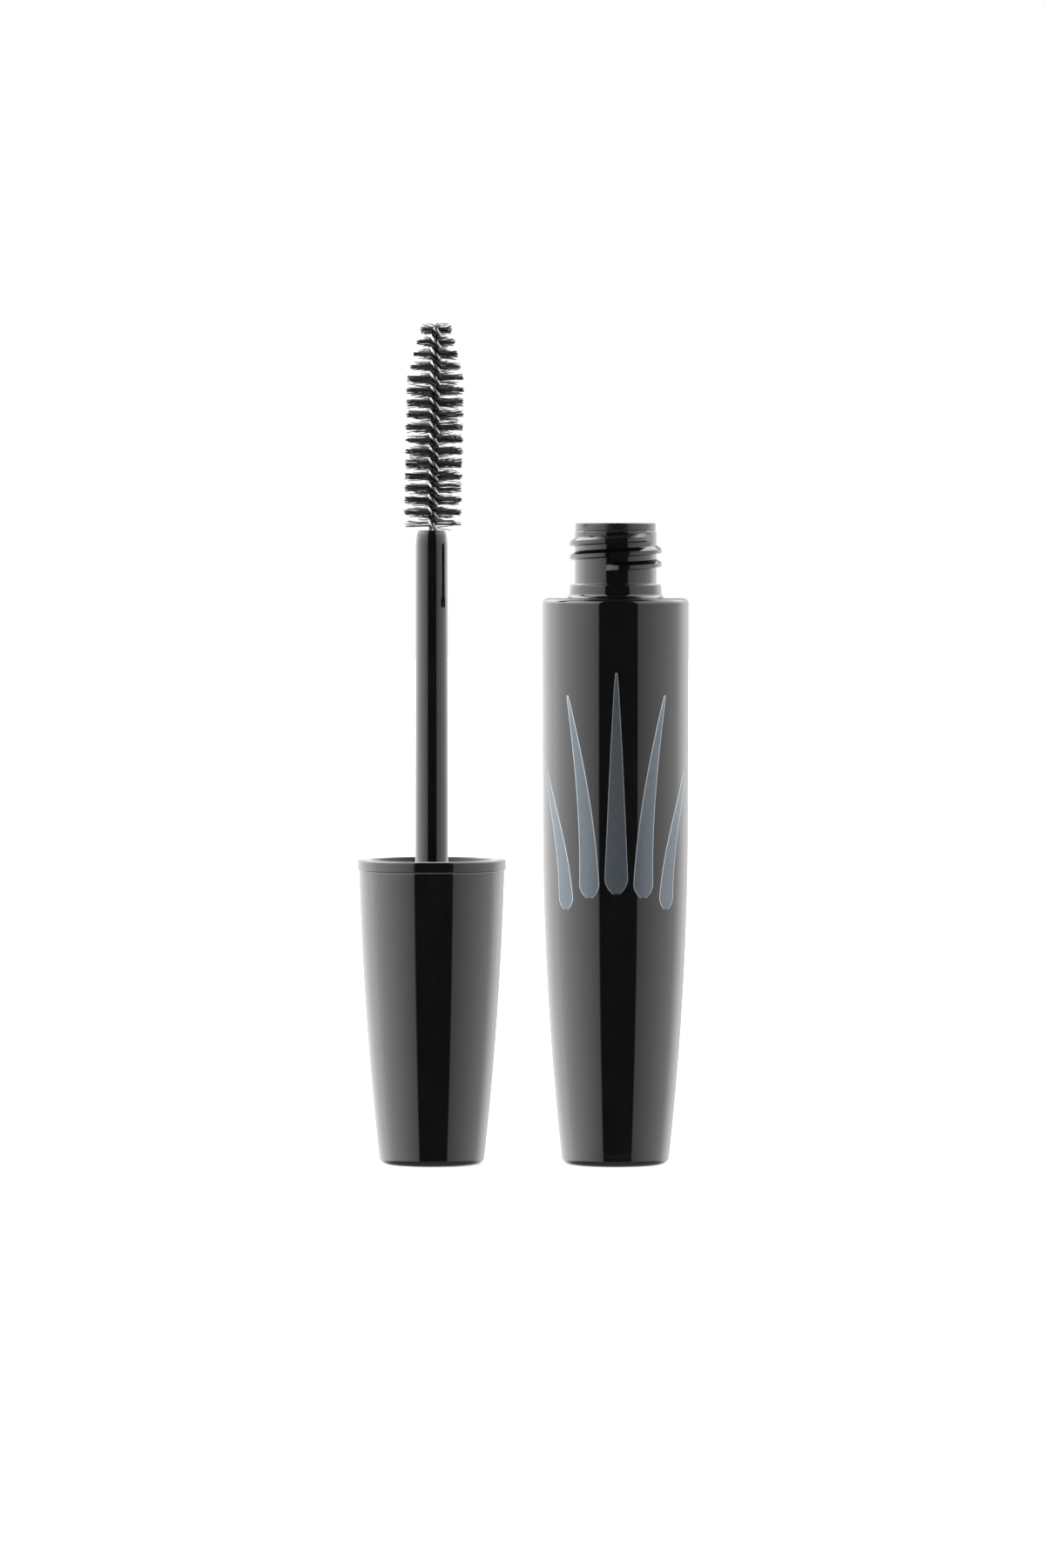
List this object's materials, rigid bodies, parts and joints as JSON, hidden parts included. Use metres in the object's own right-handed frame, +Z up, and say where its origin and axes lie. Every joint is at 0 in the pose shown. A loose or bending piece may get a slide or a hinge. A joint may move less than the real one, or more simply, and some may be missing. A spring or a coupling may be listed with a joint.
{
  "type": "mascara tube",
  "caption": "Slim glossy mascara tube, open: a tapered bottle with a threaded neck and wiper, and its cap standing beside it with a rod and twisted-wire brush.",
  "frame": {"origin": "centre of the bottle's flat base, on the surface that both halves stand on", "axes": "+Z up along the bottle's axis; +X from the applicator to the bottle, so the applicator's axis is at x = -0.0253; -Y is the front"},
  "size_m": [0.0456, 0.0206, 0.1156],
  "materials": {
    "bottle_plastic": "polished black moulding",
    "cap_plastic": "polished black moulding",
    "liner_plastic": "glossy black moulding",
    "stem_plastic": "glossy black moulding",
    "wiper_plastic": "soft black polyethylene",
    "seal_rubber": "matt off-white",
    "wire_steel": "bright drawn wire",
    "bristle_nylon": "black nylon fibre",
    "print_ink": "slate grey metallic print"
  },
  "bodies": {
    "bottle": {"bottle": "bottle_plastic", "wiper": "wiper_plastic"},
    "seal": {"sealing_ring": "seal_rubber"},
    "applicator": {"overcap": "cap_plastic", "cap_liner": "liner_plastic", "stem": "stem_plastic", "wire_core": "wire_steel", "bristle_bundle_01a": "bristle_nylon", "bristle_bundle_01b": "bristle_nylon", "bristle_bundle_02a": "bristle_nylon", "bristle_bundle_02b": "bristle_nylon", "bristle_bundle_03a": "bristle_nylon", "bristle_bundle_03b": "bristle_nylon", "bristle_bundle_04a": "bristle_nylon", "bristle_bundle_04b": "bristle_nylon", "bristle_bundle_05a": "bristle_nylon", "bristle_bundle_05b": "bristle_nylon", "bristle_bundle_06a": "bristle_nylon", "bristle_bundle_06b": "bristle_nylon", "bristle_bundle_07a": "bristle_nylon", "bristle_bundle_07b": "bristle_nylon", "bristle_bundle_08a": "bristle_nylon", "bristle_bundle_08b": "bristle_nylon"}
  },
  "joints": [
    {"name": "applicator_carry", "type": "hinge", "parent": "bottle", "child": "seal", "pos_m": [-0.01265, 0, 0.1026], "axis": [0, 1, 0], "range_deg": [0, 180]},
    {"name": "cap_twist", "type": "hinge", "parent": "seal", "child": "applicator", "pos_m": [-0.0253, 0, 0.031], "axis": [0, 0, 1], "continuous": true}
  ]
}
